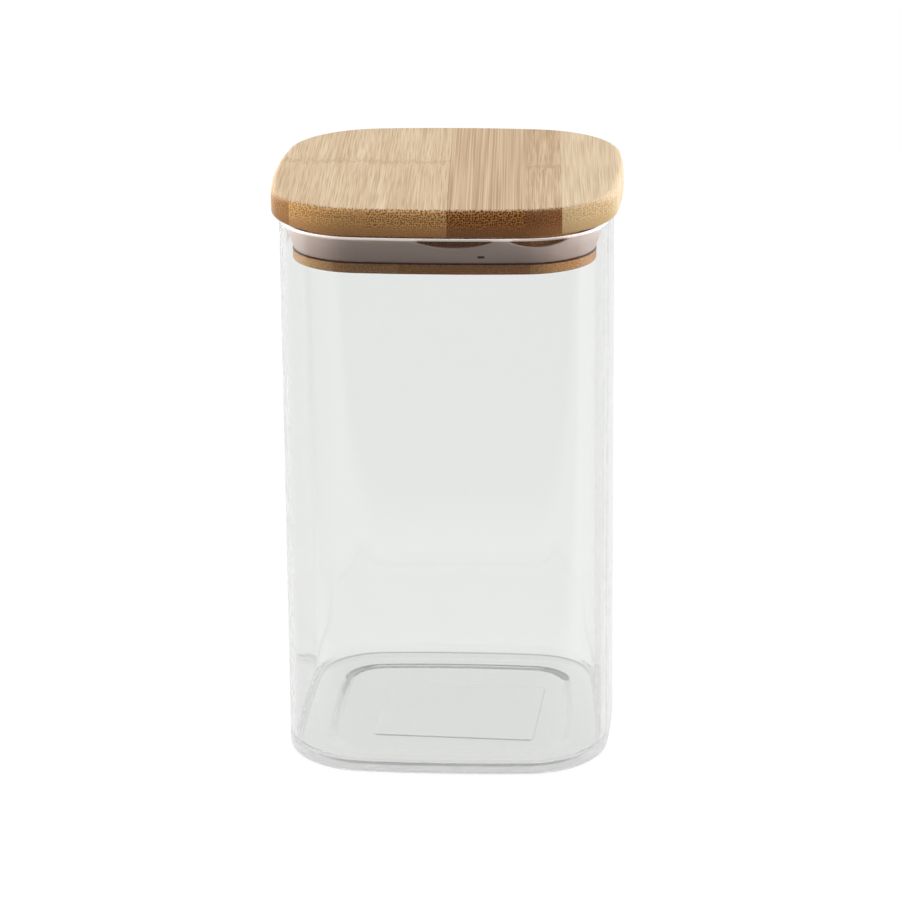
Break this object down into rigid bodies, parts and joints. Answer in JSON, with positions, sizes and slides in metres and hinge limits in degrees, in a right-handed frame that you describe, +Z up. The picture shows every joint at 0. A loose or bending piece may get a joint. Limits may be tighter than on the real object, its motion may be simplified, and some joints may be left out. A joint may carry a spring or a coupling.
{
  "type": "spice jar",
  "caption": "Tall square glass storage jar with bowed sides, and a press-in lid of glued bamboo strips with a flared silicone seal.",
  "frame": {"origin": "middle of the base, on the surface that the jar stands on", "axes": "+Z up along the jar, the way the lid lifts; +Y away from the front, along the jar's sides and almost along the grain of the lid; +X to the right seen from the front"},
  "size_m": [0.095, 0.095, 0.1604],
  "materials": {
    "glass": "clear, fire-polished rim",
    "label_paper": "plain white sticker",
    "silicone": "translucent, smooth",
    "bamboo_tan": "sanded, satin",
    "bamboo_dark": "sanded, satin",
    "bamboo_light": "sanded, satin"
  },
  "bodies": {
    "jar": {"glass_jar": "glass", "base_label": "label_paper"},
    "lid": {"silicone_seal": "silicone", "lid_strip_1": "bamboo_tan", "lid_strip_2": "bamboo_tan", "lid_strip_3": "bamboo_tan", "lid_strip_4": "bamboo_dark", "lid_strip_5": "bamboo_dark", "lid_strip_6": "bamboo_light", "plug_strip_1": "bamboo_tan", "plug_strip_2": "bamboo_tan", "plug_strip_3": "bamboo_tan", "plug_strip_4": "bamboo_tan", "plug_strip_5": "bamboo_tan"}
  },
  "joints": [
    {"name": "lid_lift", "type": "slide", "parent": "jar", "child": "lid", "axis": [0, 0, 1], "range_m": [0, 0.12]}
  ]
}
